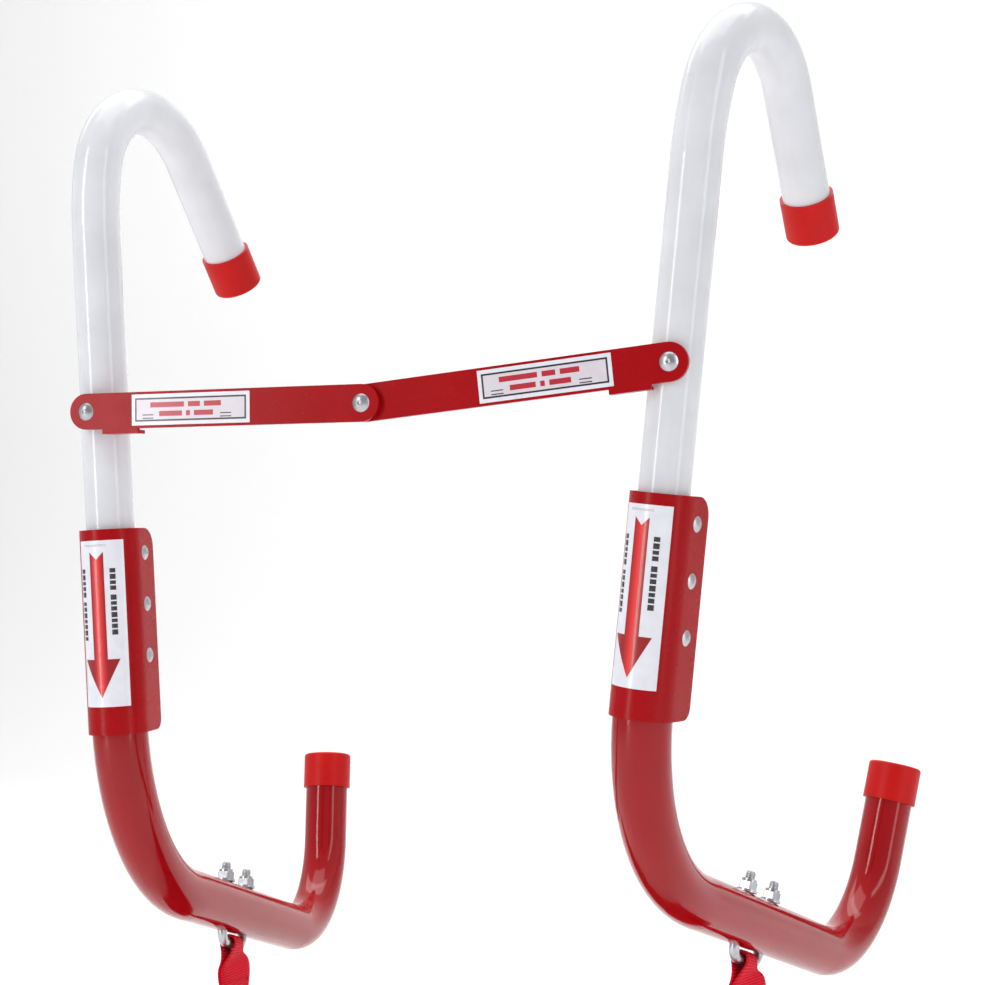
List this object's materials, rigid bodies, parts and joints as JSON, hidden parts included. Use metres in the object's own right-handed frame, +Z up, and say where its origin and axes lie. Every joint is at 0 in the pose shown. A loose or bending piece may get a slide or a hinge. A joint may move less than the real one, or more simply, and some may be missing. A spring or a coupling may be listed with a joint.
{
  "type": "escape ladder",
  "caption": "Emergency escape ladder: two tubular window hooks joined by a folding brace, U-bolts on their lower runs carrying webbing straps and a banded stack of steel rungs.",
  "frame": {"origin": "seat inside the two crowns, midway between the hooks", "axes": "+X from the left hook to the right, +Y the side on which the hooks open, +Z up as it hangs"},
  "size_m": [0.3767, 0.3282, 0.6206],
  "materials": {
    "white_coat": "gloss",
    "red_coat": "gloss",
    "steel_red": "semi-gloss",
    "rung_coat": "semi-gloss",
    "vinyl": "satin",
    "zinc": "bright zinc",
    "label": "satin",
    "webbing": "ribbed polyester webbing",
    "band": "hook-and-loop tape",
    "tab": "coated fabric"
  },
  "bodies": {
    "hook_left": {"upper_tube_left": "white_coat", "lower_tube_left": "red_coat", "sleeve_left": "steel_red", "sleeve_rivets_left": "zinc", "sleeve_label_left": "label", "upper_cap_left": "vinyl", "lower_cap_left": "vinyl", "u_bolt_left": "zinc", "u_bolt_nuts_left": "zinc", "u_bolt_washers_left": "zinc", "brace_rivet_left": "zinc", "brace_spacer": "zinc"},
    "link_left": {"brace_link_left": "steel_red", "brace_decal_left": "label", "brace_rivet_middle": "zinc"},
    "link_right": {"brace_link_right": "steel_red", "brace_decal_right": "label"},
    "hook_right": {"upper_tube_right": "white_coat", "lower_tube_right": "red_coat", "sleeve_right": "steel_red", "sleeve_rivets_right": "zinc", "sleeve_label_right": "label", "upper_cap_right": "vinyl", "lower_cap_right": "vinyl", "u_bolt_right": "zinc", "u_bolt_nuts_right": "zinc", "u_bolt_washers_right": "zinc", "brace_rivet_right": "zinc"},
    "strap_left": {"webbing_left": "webbing"},
    "strap_right": {"webbing_right": "webbing"},
    "ladder_stack": {"rung_01": "rung_coat", "rung_02": "rung_coat", "rung_03": "rung_coat", "rung_04": "rung_coat", "rung_05": "rung_coat", "rung_06": "rung_coat", "rung_07": "rung_coat", "rung_08": "rung_coat", "rung_09": "rung_coat", "rung_10": "rung_coat", "webbing_folds_left": "webbing", "webbing_folds_right": "webbing", "stack_band": "band", "band_tab": "tab"}
  },
  "joints": [
    {"name": "left_pivot", "type": "hinge", "parent": "hook_left", "child": "link_left", "pos_m": [-0.13604, -0.04682, -0.13928], "axis": [0, -1, 0], "range_deg": [0, 80]},
    {"name": "middle_pivot", "type": "hinge", "parent": "link_left", "child": "link_right", "pos_m": [0, -0.04682, -0.14578], "axis": [0, -1, 0], "range_deg": [-160, 0]},
    {"name": "right_pivot", "type": "hinge", "parent": "link_right", "child": "hook_right", "pos_m": [0.13604, -0.04682, -0.13928], "axis": [0, -1, 0], "range_deg": [0, 80]},
    {"name": "strap_left_swing", "type": "hinge", "parent": "hook_left", "child": "strap_left", "pos_m": [-0.14901, 0.07651, -0.41263], "axis": [0, 1, 0], "range_deg": [-12, 12]},
    {"name": "stack_swing", "type": "hinge", "parent": "strap_left", "child": "ladder_stack", "pos_m": [-0.14901, 0.07474, -0.47053], "axis": [0, 1, 0], "range_deg": [-12, 12]},
    {"name": "strap_right_swing", "type": "hinge", "parent": "hook_right", "child": "strap_right", "pos_m": [0.12498, 0.07297, -0.41429], "axis": [0, 1, 0], "range_deg": [-12, 12]}
  ],
  "couplings": [
    {"joint": "middle_pivot", "follows": "left_pivot", "ratio": -2},
    {"joint": "right_pivot", "follows": "left_pivot", "ratio": 1},
    {"joint": "stack_swing", "follows": "strap_left_swing", "ratio": -1},
    {"joint": "strap_right_swing", "follows": "strap_left_swing", "ratio": 1}
  ]
}
